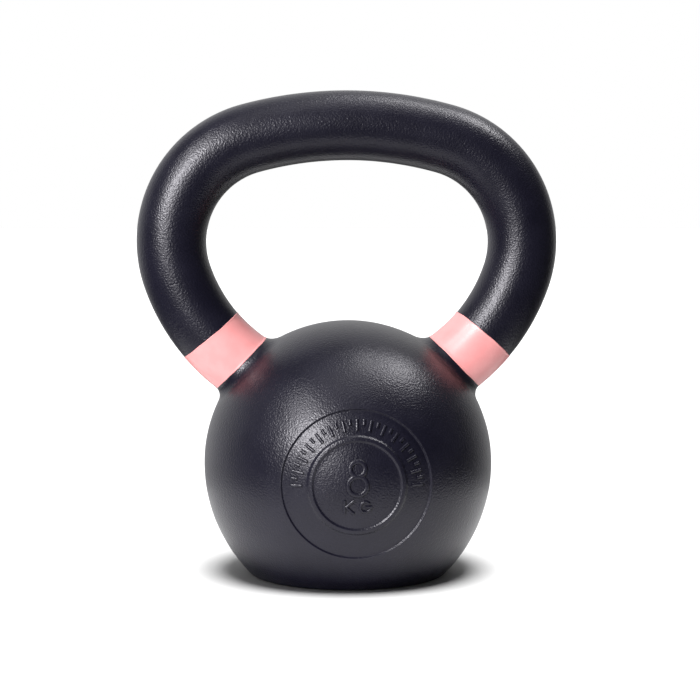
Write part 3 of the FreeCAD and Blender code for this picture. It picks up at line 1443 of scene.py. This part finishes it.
@dataclass(frozen=True)
class Studio:
    """White paper floor, soft lamps, bright surroundings and the camera."""

    bell_centre_z: float
    view_azimuth: float = -3.7
    view_elevation: float = 7.78
    view_distance: float = 0.75
    look_across: float = 0.9 * MM
    look_up: float = 94.14 * MM
    lens: float = 90.82
    sensor_width: float = 36.0
    nearest: float = 0.01
    farthest: float = 200.0
    floor_size: float = 60.0
    floor_sectors: int = 96
    near_floor: float = 0.2
    floor_rise: float = 0.02 * MM
    wash_azimuth: float = 1.0
    wash_elevation: float = 79.0
    wash_angle: float = 33.0
    wash_strength: float = 6.6
    room: float = 0.06
    glow_fade: tuple[float, float] = (-0.45, -0.1)
    glows: tuple[Glow, ...] = (
        Glow(-138.0, 2.0, 52.0, 0.85),
        Glow(180.0, 52.0, 44.0, 0.85),
        Glow(155.0, 4.0, 45.0, 0.62),
    )
    lamps: tuple[Softbox, ...] = (
        Softbox("key_left", -36.0, 23.0, 7.5, 6.5, 4.1),
        Softbox("high_left", -54.0, 44.0, 5.0, 5.0, 0.8),
        Softbox("low_left", -27.0, 6.0, 10.0, 7.0, 0.9),
        Softbox("top_right", 100.0, 58.0, 6.0, 8.0, 1.4),
        Softbox("top_back", 122.0, 76.0, 7.0, 5.0, 0.5),
        Softbox("overhead", 20.0, 76.0, 20.0, 16.0, 0.62),
    )

    def build(self) -> None:
        """Make the studio."""
        self._add_camera()
        floors = self._add_floor()
        self._add_surroundings()
        target = Vector((0.0, 0.0, self.look_up))
        spared = bpy.data.collections.new("not_lit_by_the_lamps")
        for floor in floors:
            spared.objects.link(floor)
        for member in spared.collection_objects:
            member.light_linking.link_state = "EXCLUDE"
        for softbox in self.lamps:
            softbox.build(target, spared)
        self._add_floor_wash(floors)
        bpy.context.scene.view_settings.view_transform = "Standard"

    def _add_camera(self) -> None:
        """Set the camera at its viewing angle."""
        camera = bpy.data.cameras.new("camera")
        camera.lens = self.lens
        camera.sensor_width = self.sensor_width
        camera.clip_start = self.nearest
        camera.clip_end = self.farthest
        seat = new_object("camera", camera)
        direction = from_angles(self.view_azimuth, self.view_elevation)
        seat.location = Vector((0.0, 0.0, self.bell_centre_z)) + direction * self.view_distance
        turn = math.radians(self.view_azimuth)
        aim = Vector((self.look_across * math.cos(turn), self.look_across * math.sin(turn), self.look_up))
        seat.rotation_euler = (aim - seat.location).to_track_quat("-Z", "Y").to_euler()
        bpy.context.scene.camera = seat

    def _add_floor(self) -> list[bpy.types.Object]:
        """Lay the paper: a round under the kettlebell, and the rest, which the kettlebell doesn't reflect.

        Returns:
            The two parts.
        """
        turn = np.linspace(0.0, 2.0 * math.pi, self.floor_sectors, endpoint=False)
        around = np.stack([np.cos(turn), np.sin(turn), np.zeros(self.floor_sectors)], 1)
        level = UP[None] * self.floor_rise
        paper = StudioPaper().material()
        middle = Shell()
        rim = middle.ring(around * self.near_floor + level)
        middle.fan(rim, middle.ring(level)[0])
        rest = Shell()
        inner = rest.ring(around * self.near_floor + level)
        rest.strip(inner, rest.ring(around * self.floor_size / 2 + level))
        floors = []
        for name, shell in (("floor_middle", middle), ("floor_rest", rest)):
            shell.face_out(np.tile(UP, (len(shell.at), 1)))
            floor = new_object(name, shell.mesh(name, paper))
            floors.append(floor)
        floors[1].visible_glossy = False
        floors[1].visible_diffuse = False
        return floors

    def _add_floor_wash(self, floors: list[bpy.types.Object]) -> None:
        """Add a wide, soft light from above for the paper alone, in which only the bell casts a shadow."""
        light = bpy.data.lights.new("floor_wash", "SUN")
        light.energy = self.wash_strength
        light.angle = math.radians(self.wash_angle)
        wash = new_object("floor_wash", light)
        direction = from_angles(self.wash_azimuth, self.wash_elevation)
        wash.rotation_euler = direction.to_track_quat("Z", "Y").to_euler()
        paper = bpy.data.collections.new("paper_only")
        for floor in floors:
            paper.objects.link(floor)
        wash.light_linking.receiver_collection = paper
        shading = bpy.data.collections.new("shades_the_paper")
        shading.objects.link(bpy.data.objects[BELL_COAT])
        wash.light_linking.blocker_collection = shading

    def _add_surroundings(self) -> None:
        """Make the surroundings: soft bright areas behind and beside the kettlebell in a dim room."""
        world = bpy.data.worlds.new("surroundings")
        world.use_nodes = True
        world.node_tree.nodes.clear()
        tree = Tree(world.node_tree)
        direction = tree.add("ShaderNodeTexCoord", output="Generated")
        height = tree.add("ShaderNodeSeparateXYZ", {}, {"Vector": direction}, "Z")
        above = tree.spread(height, *self.glow_fade)
        light: Any = self.room
        for glow in self.glows:
            light = glow.build(tree, direction) * above + light
        seen = tree.add("ShaderNodeLightPath", output="Is Camera Ray")
        strength = light * (1.0 - seen) + seen
        background = tree.add("ShaderNodeBackground", {},
                              {"Color": (1.0, 1.0, 1.0, 1.0), "Strength": strength})
        tree.add("ShaderNodeOutputWorld", {}, {"Surface": background})
        bpy.context.scene.world = world


# ---------------------------------------------------------------------------------------------------------
# Kettlebell
# ---------------------------------------------------------------------------------------------------------


@dataclass
class Kettlebell:
    """The whole kettlebell, in the order in which it is made."""

    root_fillet: float = 4.0 * MM

    def build(self) -> BellSize:
        """Make every piece.

        Returns:
            The bell's sizes, which place the camera.
        """
        bell = BellSize(radius=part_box("bell_coat")[1].x)
        bar_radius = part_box("handle_coat")[1].y
        line = HandleLine(bar_radius=bar_radius, grip_z=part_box("handle_coat")[1].z - bar_radius)
        form = CastForm(bell, line, self.root_fillet)
        black = PowderCoat().material()
        pink = BandEnamel().material()
        medallion = Medallion(form)
        Bell(form, medallion).build(black)
        medallion.build_marks(black)
        Handle(line).build(black)
        for side in Side:
            Band(form, side).build(pink)
        self._dress_casting()
        return bell

    @staticmethod
    def _dress_casting() -> None:
        """Give the casting, which shows at its base, its ground face."""
        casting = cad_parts["iron_casting"]
        iron = GroundIron().material()
        for slot in casting.material_slots:
            slot.material = iron
        LOG.info("iron_casting: dressed")


def main() -> None:
    """Build the kettlebell and its studio, logging each piece's vertices and faces."""
    logging.basicConfig(level=logging.INFO, format="%(name)s: %(message)s")
    bell = Kettlebell().build()
    Studio(bell_centre_z=bell.centre_z).build()


if __name__ == "__main__":
    main()
